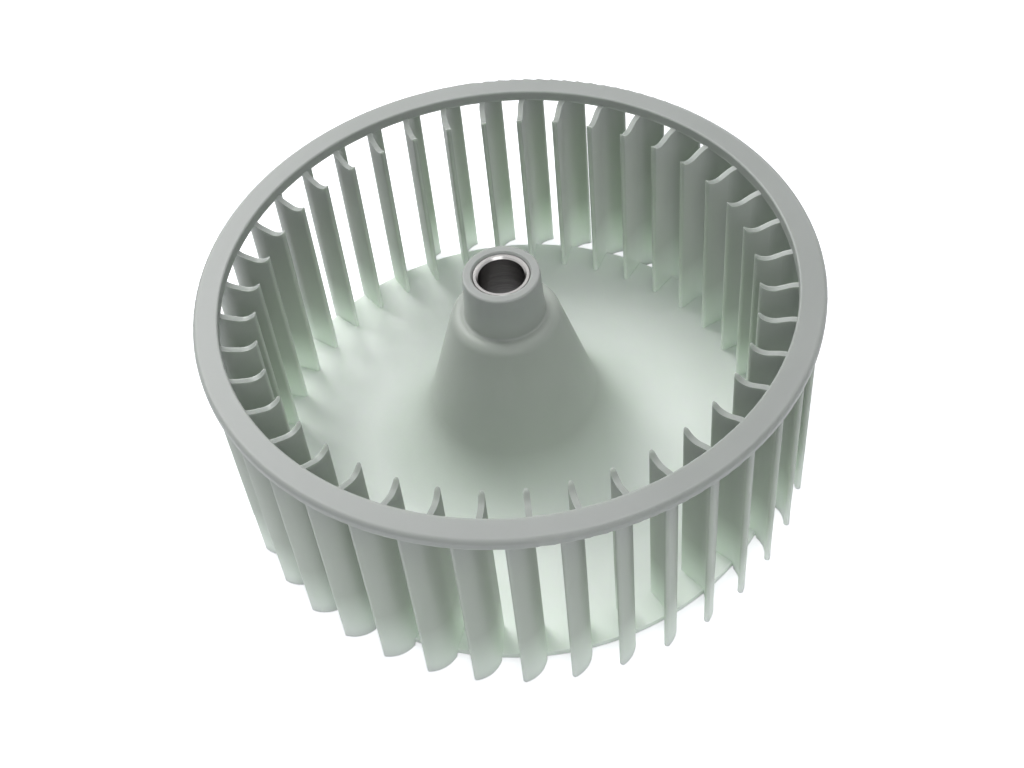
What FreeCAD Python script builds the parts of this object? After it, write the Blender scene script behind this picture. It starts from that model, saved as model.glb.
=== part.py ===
import FreeCAD, Part
import math
import os
import Sketcher

# Driving sizes of the blower wheel, in millimetres, degrees and counts.
# The wheel stands on its blade feet at z = 0 with its shaft axis on +Z.
SIZES = {
    # Rim ring that ties the blade ends together round the air inlet
    "ring_outer_r": 80.0,
    "ring_width": 6.6,
    "ring_top_z": 64.0,
    "ring_thick": 3.2,
    "ring_top_round": 1.2,
    "ring_under_round": 0.8,
    "ring_mouth_round": 0.5,
    # Back plate, smaller across than the ring opening so that two mould halves part axially
    "parting_gap": 0.9,
    "plate_under_z": 0.8,
    "plate_thick": 1.8,
    # Forward curved blades
    "blade_count": 40,
    "heel_on_plate": 7.7,
    "tip_inset": 2.05,
    "blade_arc_r": 7.2,
    "blade_turn": 75.0,
    "blade_thick": 1.5,
    "blade_root_in_ring": 1.6,
    "heel_top_z": 57.6,
    "heel_top_round": 4.0,
    "heel_slope_rise": 3.6,
    "heel_clear": 1.3,
    "foot_gap": 0.4,
    # Hollow cone that carries the hub
    "shoulder_z": 51.3,
    "cone_top_r": 14.0,
    "cone_slope": 0.28,
    "cone_wall": 2.0,
    "cone_foot_round": 25.5,
    "shoulder_round": 3.0,
    # Boss and the sleeve that holds the bush
    "boss_foot_r": 10.5,
    "boss_top_r": 10.0,
    "boss_top_z": 65.2,
    "boss_foot_round": 0.6,
    "boss_top_round": 0.6,
    "sleeve_wall": 2.3,
    "sleeve_lip": 0.9,
    "sleeve_lip_thick": 1.6,
    # Metal bush for the motor shaft
    "bush_outer_r": 7.5,
    "bore_r": 6.0,
    "bush_long": 29.0,
    "bush_sunk": 0.6,
    "bush_lead_in": 0.4,
    "bore_chamfer": 0.5,
    "rim_chamfer": 0.3,
}

RING_INNER_R = "(dim.ring_outer_r - dim.ring_width)"
PLATE_R = "(dim.ring_outer_r - dim.ring_width - dim.parting_gap)"
HEEL_R = "(dim.ring_outer_r - dim.ring_width - dim.parting_gap - dim.heel_on_plate)"
TIP_R = "(dim.ring_outer_r - dim.tip_inset)"
BEND_R = "(dim.ring_outer_r - dim.tip_inset - dim.blade_arc_r * sin(dim.blade_turn))"
PLATE_TOP = "(dim.plate_under_z + dim.plate_thick)"
RING_UNDER = "(dim.ring_top_z - dim.ring_thick)"
BUSH_TOP = "(dim.boss_top_z - dim.bush_sunk)"
BUSH_END = "(dim.boss_top_z - dim.bush_sunk - dim.bush_long)"
SLEEVE_END = "(dim.boss_top_z - dim.bush_sunk - dim.bush_long - dim.sleeve_lip_thick)"
CEILING_Z = "(dim.shoulder_z - dim.cone_wall)"
SLEEVE_R = "(dim.bush_outer_r + dim.sleeve_wall)"
WALL_ACROSS = "(dim.cone_wall * sqrt(1 + dim.cone_slope ^ 2))"


def make_sheet(doc):
    sheet = doc.addObject("Spreadsheet::Sheet", "dim")
    for row, (name, size) in enumerate(SIZES.items(), start=1):
        sheet.set("A%d" % row, name)
        sheet.set("B%d" % row, str(size))
        sheet.setAlias("B%d" % row, name)
    doc.recompute()
    return sheet


def make_body(doc, name):
    body = doc.addObject("PartDesign::Body", name)
    body.Label = name
    body.Placement = FreeCAD.Placement()
    return body


def origin_item(body, role):
    return next(item for item in body.Origin.OriginFeatures if item.Role == role)


def new_sketch(body, name, plane):
    sketch = body.newObject("Sketcher::SketchObject", name)
    sketch.AttachmentSupport = [(origin_item(body, plane), "")]
    sketch.MapMode = "FlatFace"
    return sketch


def value(sketch, expression):
    return float(sketch.evalExpression(expression))


def drive(sketch, constraint, expression):
    index = sketch.addConstraint(constraint)
    sketch.setExpression("Constraints[%d]" % index, expression)


def place_point(sketch, geometry, end, across, up):
    drive(sketch, Sketcher.Constraint("DistanceX", -1, 1, geometry, end, value(sketch, across)), across)
    drive(sketch, Sketcher.Constraint("DistanceY", -1, 1, geometry, end, value(sketch, up)), up)


def unit(vector):
    length = vector.Length
    return FreeCAD.Vector(vector.x / length, vector.y / length, 0)


def corner_arc(before, corner, after, radius):
    # The tangent points and centre of a rounding where two straight runs meet.
    back = unit(before - corner)
    ahead = unit(after - corner)
    half = back.getAngle(ahead) / 2
    run = radius / math.tan(half)
    centre = corner + unit(back + ahead) * (radius / math.sin(half))
    return corner + back * run, corner + ahead * run, centre


def add_corner_arc(sketch, start, end, centre, radius):
    first = math.atan2(start.y - centre.y, start.x - centre.x)
    last = math.atan2(end.y - centre.y, end.x - centre.x)
    turn = (last - first) % (2 * math.pi)
    circle = Part.Circle(centre, FreeCAD.Vector(0, 0, 1), radius)
    if turn < math.pi:
        return sketch.addGeometry(Part.ArcOfCircle(circle, first, first + turn), False), 1, 2
    turn = 2 * math.pi - turn
    return sketch.addGeometry(Part.ArcOfCircle(circle, last, last + turn), False), 2, 1


def draw_outline(sketch, corners):
    # Each corner is (across, up, rounding), written as expressions of the sheet's cells;
    # an empty rounding leaves the corner sharp.
    spots = [FreeCAD.Vector(value(sketch, c[0]), value(sketch, c[1]), 0) for c in corners]
    count = len(corners)
    arcs = {}
    for i, corner in enumerate(corners):
        if corner[2]:
            radius = value(sketch, corner[2])
            arcs[i] = corner_arc(spots[i - 1], spots[i], spots[(i + 1) % count], radius)
    lines = []
    for i in range(count):
        j = (i + 1) % count
        start = arcs[i][1] if i in arcs else spots[i]
        end = arcs[j][0] if j in arcs else spots[j]
        lines.append(sketch.addGeometry(Part.LineSegment(start, end), False))
    for i, corner in enumerate(corners):
        incoming = lines[i - 1]
        outgoing = lines[i]
        if i not in arcs:
            sketch.addConstraint(Sketcher.Constraint("Coincident", incoming, 2, outgoing, 1))
            place_point(sketch, outgoing, 1, corner[0], corner[1])
            continue
        start, end, centre = arcs[i]
        radius = value(sketch, corner[2])
        arc, arc_in, arc_out = add_corner_arc(sketch, start, end, centre, radius)
        mark = sketch.addGeometry(Part.Point(spots[i]), True)
        sketch.addConstraint(Sketcher.Constraint("Tangent", incoming, 2, arc, arc_in))
        sketch.addConstraint(Sketcher.Constraint("Tangent", arc, arc_out, outgoing, 1))
        sketch.addConstraint(Sketcher.Constraint("PointOnObject", mark, 1, incoming))
        sketch.addConstraint(Sketcher.Constraint("PointOnObject", mark, 1, outgoing))
        place_point(sketch, mark, 1, corner[0], corner[1])
        drive(sketch, Sketcher.Constraint("Radius", arc, radius), corner[2])


def turned_feature(body, kind, name, corners):
    sketch = new_sketch(body, name + "_outline", "XZ_Plane")
    draw_outline(sketch, corners)
    feature = body.newObject(kind, name)
    feature.Profile = sketch
    feature.ReferenceAxis = (sketch, ["V_Axis"])
    feature.Angle = 360
    body.Document.recompute()
    return feature


def hub_and_plate(body):
    cone_foot_r = "dim.cone_top_r + dim.cone_slope * (dim.shoulder_z - %s)" % PLATE_TOP
    inner_top_r = "dim.cone_top_r + dim.cone_slope * dim.cone_wall - %s" % WALL_ACROSS
    inner_foot_r = ("dim.cone_top_r + dim.cone_slope * (dim.shoulder_z - dim.plate_under_z) - %s"
                    % WALL_ACROSS)
    return turned_feature(body, "PartDesign::Revolution", "hub_and_plate", [
        (PLATE_R, "dim.plate_under_z", ""),
        (PLATE_R, PLATE_TOP, ""),
        (cone_foot_r, PLATE_TOP, "dim.cone_foot_round"),
        ("dim.cone_top_r", "dim.shoulder_z", "dim.shoulder_round"),
        ("dim.boss_foot_r", "dim.shoulder_z", "dim.boss_foot_round"),
        ("dim.boss_top_r", "dim.boss_top_z", "dim.boss_top_round"),
        ("dim.bush_outer_r + dim.bush_lead_in", "dim.boss_top_z", ""),
        ("dim.bush_outer_r", BUSH_TOP, ""),
        ("dim.bush_outer_r", BUSH_END, ""),
        ("dim.bush_outer_r - dim.sleeve_lip", BUSH_END, ""),
        ("dim.bush_outer_r - dim.sleeve_lip", SLEEVE_END, ""),
        (SLEEVE_R, SLEEVE_END, ""),
        (SLEEVE_R, CEILING_Z, "dim.boss_foot_round"),
        (inner_top_r, CEILING_Z, "dim.boss_foot_round"),
        (inner_foot_r, "dim.plate_under_z", "dim.cone_foot_round + dim.plate_thick"),
    ])


def draw_blade(sketch):
    # A strip of even thickness: straight from the heel, then bent over to a rounded tip.
    axis = FreeCAD.Vector(0, 0, 1)
    arc_r = value(sketch, "dim.blade_arc_r")
    half = value(sketch, "dim.blade_thick") / 2
    heel = FreeCAD.Vector(value(sketch, HEEL_R), 0, 0)
    centre = FreeCAD.Vector(value(sketch, BEND_R), -arc_r, 0)
    tip_at = math.radians(90 - value(sketch, "dim.blade_turn"))
    tip = centre + FreeCAD.Vector(math.cos(tip_at), math.sin(tip_at), 0) * arc_r
    side = FreeCAD.Vector(0, half, 0)
    bend = FreeCAD.Vector(centre.x, 0, 0)

    def arc(middle, radius, start, end):
        circle = Part.Circle(middle, axis, radius)
        return sketch.addGeometry(Part.ArcOfCircle(circle, start, end), False)

    back_line = sketch.addGeometry(Part.LineSegment(heel + side, bend + side), False)
    front_line = sketch.addGeometry(Part.LineSegment(heel - side, bend - side), False)
    back_arc = arc(centre, arc_r + half, tip_at, math.pi / 2)
    front_arc = arc(centre, arc_r - half, tip_at, math.pi / 2)
    heel_cap = arc(heel, half, math.pi / 2, 3 * math.pi / 2)
    tip_cap = arc(tip, half, tip_at - math.pi, tip_at)
    for line in (back_line, front_line):
        sketch.addConstraint(Sketcher.Constraint("Horizontal", line))
    sketch.addConstraint(Sketcher.Constraint("Tangent", heel_cap, 1, back_line, 1))
    sketch.addConstraint(Sketcher.Constraint("Tangent", heel_cap, 2, front_line, 1))
    sketch.addConstraint(Sketcher.Constraint("Tangent", back_line, 2, back_arc, 2))
    sketch.addConstraint(Sketcher.Constraint("Tangent", front_line, 2, front_arc, 2))
    sketch.addConstraint(Sketcher.Constraint("Tangent", front_arc, 1, tip_cap, 1))
    sketch.addConstraint(Sketcher.Constraint("Tangent", tip_cap, 2, back_arc, 1))
    sketch.addConstraint(Sketcher.Constraint("Coincident", back_arc, 3, front_arc, 3))
    sketch.addConstraint(Sketcher.Constraint("PointOnObject", heel_cap, 3, -1))
    drive(sketch, Sketcher.Constraint("DistanceX", -1, 1, heel_cap, 3, heel.x), HEEL_R)
    drive(sketch, Sketcher.Constraint("Radius", heel_cap, half), "dim.blade_thick / 2")
    drive(sketch, Sketcher.Constraint("DistanceX", -1, 1, front_arc, 3, centre.x), BEND_R)
    drive(sketch, Sketcher.Constraint("Radius", front_arc, arc_r - half),
          "dim.blade_arc_r - dim.blade_thick / 2")
    drive(sketch, Sketcher.Constraint("DistanceX", -1, 1, tip_cap, 3, tip.x), TIP_R)


def heel_slope(body):
    # Takes the heel down in a slope from the ring and rounds its upper corner.
    clear_r = HEEL_R + " - dim.heel_clear"
    above = "dim.ring_top_z + dim.ring_thick"
    sketch = new_sketch(body, "heel_outline", "XZ_Plane")
    draw_outline(sketch, [
        (clear_r, above, ""),
        (clear_r, "dim.heel_top_z", "dim.heel_top_round"),
        (RING_INNER_R, "dim.heel_top_z + dim.heel_slope_rise", ""),
        (RING_INNER_R, above, ""),
    ])
    pocket = body.newObject("PartDesign::Pocket", "heel_slope")
    pocket.Profile = sketch
    pocket.SideType = "Symmetric"
    pocket.setExpression("Length", "4 * dim.blade_thick")
    body.Document.recompute()
    return pocket


def blades(body):
    sketch = new_sketch(body, "blade_outline", "XY_Plane")
    draw_blade(sketch)
    blade = body.newObject("PartDesign::Pad", "blade")
    blade.Profile = sketch
    blade.setExpression("Length", "%s + dim.blade_root_in_ring" % RING_UNDER)
    body.Document.recompute()
    slope = heel_slope(body)
    ring_of_blades = body.newObject("PartDesign::PolarPattern", "ring_of_blades")
    ring_of_blades.Originals = [blade, slope]
    ring_of_blades.Axis = (origin_item(body, "Z_Axis"), [""])
    ring_of_blades.Angle = 360
    ring_of_blades.setExpression("Occurrences", "dim.blade_count")
    body.Tip = ring_of_blades
    body.Document.recompute()


def under_plate(body):
    # Leaves the blades standing below the plate only outside its edge, as feet.
    inside = HEEL_R + " - 2 * dim.heel_clear"
    turned_feature(body, "PartDesign::Groove", "under_plate", [
        (inside, "dim.plate_under_z", ""),
        (PLATE_R + " + dim.foot_gap", "dim.plate_under_z", ""),
        (PLATE_R + " + dim.foot_gap", "-dim.plate_under_z", ""),
        (inside, "-dim.plate_under_z", ""),
    ])


def rim_ring(body):
    turned_feature(body, "PartDesign::Revolution", "rim_ring", [
        (RING_INNER_R, RING_UNDER, ""),
        ("dim.ring_outer_r", RING_UNDER, "dim.ring_under_round"),
        ("dim.ring_outer_r", "dim.ring_top_z", "dim.ring_top_round"),
        (RING_INNER_R, "dim.ring_top_z", "dim.ring_mouth_round"),
    ])


def make_fan_wheel(doc):
    body = make_body(doc, "fan_wheel")
    hub_and_plate(body)
    blades(body)
    under_plate(body)
    rim_ring(body)
    return body


def make_hub_bush(doc):
    body = make_body(doc, "hub_bush")
    turned_feature(body, "PartDesign::Revolution", "bush", [
        ("dim.bore_r + dim.bore_chamfer", BUSH_END, ""),
        ("dim.bush_outer_r - dim.rim_chamfer", BUSH_END, ""),
        ("dim.bush_outer_r", BUSH_END + " + dim.rim_chamfer", ""),
        ("dim.bush_outer_r", BUSH_TOP + " - dim.rim_chamfer", ""),
        ("dim.bush_outer_r - dim.rim_chamfer", BUSH_TOP, ""),
        ("dim.bore_r + dim.bore_chamfer", BUSH_TOP, ""),
        ("dim.bore_r", BUSH_TOP + " - dim.bore_chamfer", ""),
        ("dim.bore_r", BUSH_END + " + dim.bore_chamfer", ""),
    ])
    return body


def check_document(doc, bodies):
    for item in doc.Objects:
        if "Invalid" in item.State or "Error" in item.State:
            raise RuntimeError("%s did not build: %s" % (item.Name, item.State))
    for body in bodies:
        shape = body.Shape
        if shape.isNull() or not shape.isValid() or len(shape.Solids) != 1:
            raise RuntimeError("%s is not one valid solid" % body.Label)


def main():
    doc = FreeCAD.newDocument("blower_wheel")
    make_sheet(doc)
    bodies = [make_fan_wheel(doc), make_hub_bush(doc)]
    doc.recompute()
    check_document(doc, bodies)
    os.makedirs("parts", exist_ok=True)
    for body in bodies:
        body.Shape.exportStep(os.path.join("parts", body.Label + ".step"))
        print(body.Label, round(body.Shape.Volume, 1), body.Shape.BoundBox)


main()
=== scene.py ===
import math

import bpy
from mathutils import Matrix, Vector

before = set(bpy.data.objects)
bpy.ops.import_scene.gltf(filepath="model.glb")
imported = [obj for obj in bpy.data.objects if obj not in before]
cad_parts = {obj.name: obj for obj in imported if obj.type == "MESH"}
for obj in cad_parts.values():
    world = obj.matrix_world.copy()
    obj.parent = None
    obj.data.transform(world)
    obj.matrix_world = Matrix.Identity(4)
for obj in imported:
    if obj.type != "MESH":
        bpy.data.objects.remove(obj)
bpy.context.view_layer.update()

# Wheel, in metres
RING_TOP = 0.064
RING_RADIUS = 0.08
# Height over which the painted light and shade run from the feet to the rim
PAINTED_SHADE_HEIGHT = 0.0655
SHARP_EDGE = math.radians(28)

# Natural polypropylene, its own greenish grey with painted light and shade that run from the feet
# up to the rim: the colour is painted brightest where it lies on the pale floor and catches the
# floor's light, and greyer where it stands free and the light passes through.
PAINTED_SHADE_TONES = (
    (0.0, (0.84, 0.92, 0.84)),
    (0.05, (0.84, 0.92, 0.84)),
    (0.30, (0.50, 0.545, 0.49)),
    (0.72, (0.42, 0.455, 0.41)),
    (0.92, (0.36, 0.38, 0.36)),
    (1.0, (0.36, 0.37, 0.36)),
)
CLOUD_TONES = ((0.3, (0.90, 0.91, 0.90)), (0.7, (1.0, 1.0, 1.0)))
CLOUD_SCALE = 22.0
CLOUD_SHARE = 0.8
BODY_ROUGHNESS = (0.36, 0.50)
BODY_SPECULAR = 0.45
SCATTER_SHARE = 0.7
SCATTER_RADIUS = (0.9, 1.0, 0.85)
SCATTER_DEPTH = 0.003
SPECKLE_SCALE = 900.0
SPECKLE_DETAIL = 2.0
SPECKLE_BUMP = {"strength": 0.12, "distance": 0.0002}
WAVE_SCALE = 60.0
WAVE_BUMP = {"strength": 0.10, "distance": 0.0008}

# Turned steel, with marks drawn out round the bush
STEEL_TONES = ((0.35, (0.33, 0.32, 0.32)), (0.65, (0.50, 0.49, 0.48)))
STEEL_STRETCH = (0.15, 0.15, 6.0)
STEEL_SCALE = 420.0
STEEL_DETAIL = 4.0
STEEL_ROUGHNESS = 0.2
STEEL_BUMP = {"strength": 0.10, "distance": 0.0001}

# Floor and surroundings
FLOOR_WIDTH = 6.0
FLOOR_DROP = 0.0002
FLOOR_COLOUR = (0.86, 0.86, 0.88)
FLOOR_ROUGHNESS = 0.9
GLOW_COLOUR = (0.97, 0.97, 1.0)
GLOW_SHARE = 0.62
SKY_COLOUR = (0.93, 0.97, 1.0)
SKY_STRENGTH = 0.32
WHITE = (1, 1, 1)

# Round area lights: name, place, diameter, power
LIGHTS = (
    ("key", (-0.35, 0.50, 0.75), 0.55, 6.0),
    ("top", (0.25, 0.10, 0.90), 0.50, 1.6),
    ("fill", (0.10, -0.70, 0.60), 0.60, 1.6),
)
LIGHT_AIM = (0, 0, 0.02)

# Camera that was fitted to the photograph's rim, plate and hub circles, with the lens, the
# optical centre and the picture's size in pixels
PICTURE_WIDTH = 1024
PICTURE_HEIGHT = 768
FOCAL = 1452.1
OPTICAL_CENTRE = (403, 296)
TILT = math.radians(46.051)
ROLL = math.radians(-6.636)
YAW = math.radians(-3.932)
PITCH = math.radians(-0.324)
DISTANCE = 4.623 * RING_RADIUS
SENSOR_WIDTH = 36.0
NEAR_CLIP = 0.01

# Sockets of the mix node in its colour form
MIX_FACTOR, MIX_FIRST, MIX_SECOND, MIX_RESULT = 0, 6, 7, 2


def new_material(name):
    mat = bpy.data.materials.new(name)
    mat.use_nodes = True
    tree = mat.node_tree
    shader = next(n for n in tree.nodes if n.type == "BSDF_PRINCIPLED")
    return mat, tree, shader


def add(tree, kind, **settings):
    node = tree.nodes.new(kind)
    for name, setting in settings.items():
        setattr(node, name, setting)
    return node


def feed(tree, socket, item):
    # Gives a socket a number, a colour or another node's output.
    if isinstance(item, (int, float)):
        socket.default_value = item
    elif isinstance(item, tuple):
        socket.default_value = (*item, 1)
    else:
        tree.links.new(item, socket)


def maths(tree, operation, first, second):
    node = add(tree, "ShaderNodeMath", operation=operation)
    feed(tree, node.inputs[0], first)
    feed(tree, node.inputs[1], second)
    return node.outputs[0]


def ramp(tree, factor, stops):
    node = add(tree, "ShaderNodeValToRGB")
    elements = node.color_ramp.elements
    while len(elements) < len(stops):
        elements.new(0.5)
    for element, (place, colour) in zip(elements, stops):
        element.position = place
        element.color = (*colour, 1)
    tree.links.new(factor, node.inputs["Fac"])
    return node.outputs["Color"]


def noise(tree, coords, scale, detail=3.0, rough=0.55):
    node = add(tree, "ShaderNodeTexNoise")
    node.inputs["Scale"].default_value = scale
    node.inputs["Detail"].default_value = detail
    node.inputs["Roughness"].default_value = rough
    tree.links.new(coords, node.inputs["Vector"])
    return node.outputs["Fac"]


def blend_colours(tree, kind, factor, first, second):
    node = add(tree, "ShaderNodeMix", data_type="RGBA", blend_type=kind)
    feed(tree, node.inputs[MIX_FACTOR], factor)
    feed(tree, node.inputs[MIX_FIRST], first)
    feed(tree, node.inputs[MIX_SECOND], second)
    return node.outputs[MIX_RESULT]


def bump(tree, height, strength, distance, under=None):
    node = add(tree, "ShaderNodeBump")
    node.inputs["Strength"].default_value = strength
    node.inputs["Distance"].default_value = distance
    tree.links.new(height, node.inputs["Height"])
    if under is not None:
        tree.links.new(under, node.inputs["Normal"])
    return node.outputs["Normal"]


def object_coords(tree):
    return add(tree, "ShaderNodeTexCoord").outputs["Object"]


def seen_directly(tree):
    # One for what the camera sees, straight or in a reflection, and nought for light on the object.
    path = add(tree, "ShaderNodeLightPath")
    return maths(tree, "MAXIMUM", path.outputs["Is Camera Ray"], path.outputs["Is Glossy Ray"])


def milky_plastic():
    mat, tree, shader = new_material("milky_plastic")
    coords = object_coords(tree)
    split = add(tree, "ShaderNodeSeparateXYZ")
    tree.links.new(coords, split.inputs[0])
    # Painted light and shade: the base colour is painted lighter towards the feet and darker
    # towards the rim, by height, then random cloudy patches of the plastic's own tone go over it.
    painted_shade_colour = ramp(tree, maths(tree, "DIVIDE", split.outputs["Z"], PAINTED_SHADE_HEIGHT), PAINTED_SHADE_TONES)

    patches = noise(tree, coords, CLOUD_SCALE)
    painted_shade_and_patches = blend_colours(tree, "MULTIPLY", CLOUD_SHARE, painted_shade_colour, ramp(tree, patches, CLOUD_TONES))
    tree.links.new(painted_shade_and_patches, shader.inputs["Base Color"])

    rough = add(tree, "ShaderNodeMapRange")
    rough.inputs["To Min"].default_value, rough.inputs["To Max"].default_value = BODY_ROUGHNESS
    tree.links.new(patches, rough.inputs["Value"])
    tree.links.new(rough.outputs[0], shader.inputs["Roughness"])

    shader.inputs["Subsurface Weight"].default_value = SCATTER_SHARE
    shader.inputs["Subsurface Radius"].default_value = SCATTER_RADIUS
    shader.inputs["Subsurface Scale"].default_value = SCATTER_DEPTH
    shader.inputs["Specular IOR Level"].default_value = BODY_SPECULAR

    fine = bump(tree, noise(tree, coords, SPECKLE_SCALE, SPECKLE_DETAIL), **SPECKLE_BUMP)
    waves = bump(tree, noise(tree, coords, WAVE_SCALE), under=fine, **WAVE_BUMP)
    tree.links.new(waves, shader.inputs["Normal"])
    return mat


def bush_steel():
    mat, tree, shader = new_material("bush_steel")
    stretch = add(tree, "ShaderNodeMapping")
    stretch.inputs["Scale"].default_value = STEEL_STRETCH
    tree.links.new(object_coords(tree), stretch.inputs["Vector"])
    marks = noise(tree, stretch.outputs[0], STEEL_SCALE, STEEL_DETAIL)
    tree.links.new(ramp(tree, marks, STEEL_TONES), shader.inputs["Base Color"])
    shader.inputs["Metallic"].default_value = 1.0
    shader.inputs["Roughness"].default_value = STEEL_ROUGHNESS
    tree.links.new(bump(tree, marks, **STEEL_BUMP), shader.inputs["Normal"])
    return mat


def dress(node, material):
    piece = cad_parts[node]
    piece.data.materials.clear()
    piece.data.materials.append(material)
    for polygon in piece.data.polygons:
        polygon.material_index = 0
        polygon.use_smooth = True
    piece.data.set_sharp_from_angle(angle=SHARP_EDGE)


def add_floor():
    # A plain pale sheet, lifted towards white only where it is seen.
    bpy.ops.mesh.primitive_plane_add(size=FLOOR_WIDTH, location=(0, 0, -FLOOR_DROP))
    floor = bpy.context.object
    floor.name = "floor"
    mat, tree, shader = new_material("floor_paper")
    shader.inputs["Base Color"].default_value = (*FLOOR_COLOUR, 1)
    shader.inputs["Roughness"].default_value = FLOOR_ROUGHNESS
    glow = add(tree, "ShaderNodeEmission")
    glow.inputs["Color"].default_value = (*GLOW_COLOUR, 1)
    lift = maths(tree, "MULTIPLY", seen_directly(tree), GLOW_SHARE)
    tree.links.new(lift, glow.inputs["Strength"])
    both = add(tree, "ShaderNodeAddShader")
    tree.links.new(shader.outputs[0], both.inputs[0])
    tree.links.new(glow.outputs[0], both.inputs[1])
    out = next(n for n in tree.nodes if n.type == "OUTPUT_MATERIAL")
    tree.links.new(both.outputs[0], out.inputs["Surface"])
    floor.data.materials.append(mat)


def add_light(name, place, size, power):
    data = bpy.data.lights.new(name, "AREA")
    data.shape = "DISK"
    data.size = size
    data.energy = power
    lamp = bpy.data.objects.new(name, data)
    bpy.context.scene.collection.objects.link(lamp)
    lamp.location = place
    towards = Vector(LIGHT_AIM) - Vector(place)
    lamp.rotation_euler = towards.to_track_quat("-Z", "Y").to_euler()


def background(tree, colour, strength):
    node = add(tree, "ShaderNodeBackground")
    node.inputs["Color"].default_value = (*colour, 1)
    node.inputs["Strength"].default_value = strength
    return node.outputs[0]


def add_world():
    # Soft light on the object, and plain white where the surroundings are seen.
    world = bpy.data.worlds.new("studio")
    bpy.context.scene.world = world
    world.use_nodes = True
    tree = world.node_tree
    tree.nodes.clear()
    choose = add(tree, "ShaderNodeMixShader")
    tree.links.new(seen_directly(tree), choose.inputs[0])
    tree.links.new(background(tree, SKY_COLOUR, SKY_STRENGTH), choose.inputs[1])
    tree.links.new(background(tree, WHITE, 1.0), choose.inputs[2])
    out = add(tree, "ShaderNodeOutputWorld")
    tree.links.new(choose.outputs[0], out.inputs["Surface"])


def add_camera():
    # Aims at the middle of the rim, then turns by the yaw, the pitch and the roll.
    ahead = Vector((0, math.cos(TILT), -math.sin(TILT)))
    across = Vector((1, 0, 0))
    up = across.cross(ahead)
    place = -ahead * DISTANCE + Vector((0, 0, RING_TOP))
    turned = math.cos(YAW) * ahead + math.sin(YAW) * across
    side = math.cos(YAW) * across - math.sin(YAW) * ahead
    look = math.cos(PITCH) * turned + math.sin(PITCH) * up
    rise = math.cos(PITCH) * up - math.sin(PITCH) * turned
    right = math.cos(ROLL) * side + math.sin(ROLL) * rise
    top = -math.sin(ROLL) * side + math.cos(ROLL) * rise

    data = bpy.data.cameras.new("camera")
    data.sensor_width = SENSOR_WIDTH
    data.lens = FOCAL / PICTURE_WIDTH * SENSOR_WIDTH
    data.shift_x = (PICTURE_WIDTH / 2 - OPTICAL_CENTRE[0]) / PICTURE_WIDTH
    data.shift_y = (OPTICAL_CENTRE[1] - PICTURE_HEIGHT / 2) / PICTURE_WIDTH
    data.clip_start = NEAR_CLIP
    camera = bpy.data.objects.new("camera", data)
    bpy.context.scene.collection.objects.link(camera)
    camera.matrix_world = Matrix((
        (right.x, top.x, -look.x, place.x),
        (right.y, top.y, -look.y, place.y),
        (right.z, top.z, -look.z, place.z),
        (0, 0, 0, 1),
    ))
    bpy.context.scene.camera = camera


dress("fan_wheel", milky_plastic())
dress("hub_bush", bush_steel())
add_floor()
for light in LIGHTS:
    add_light(*light)
add_world()
add_camera()
bpy.context.scene.view_settings.view_transform = "Standard"
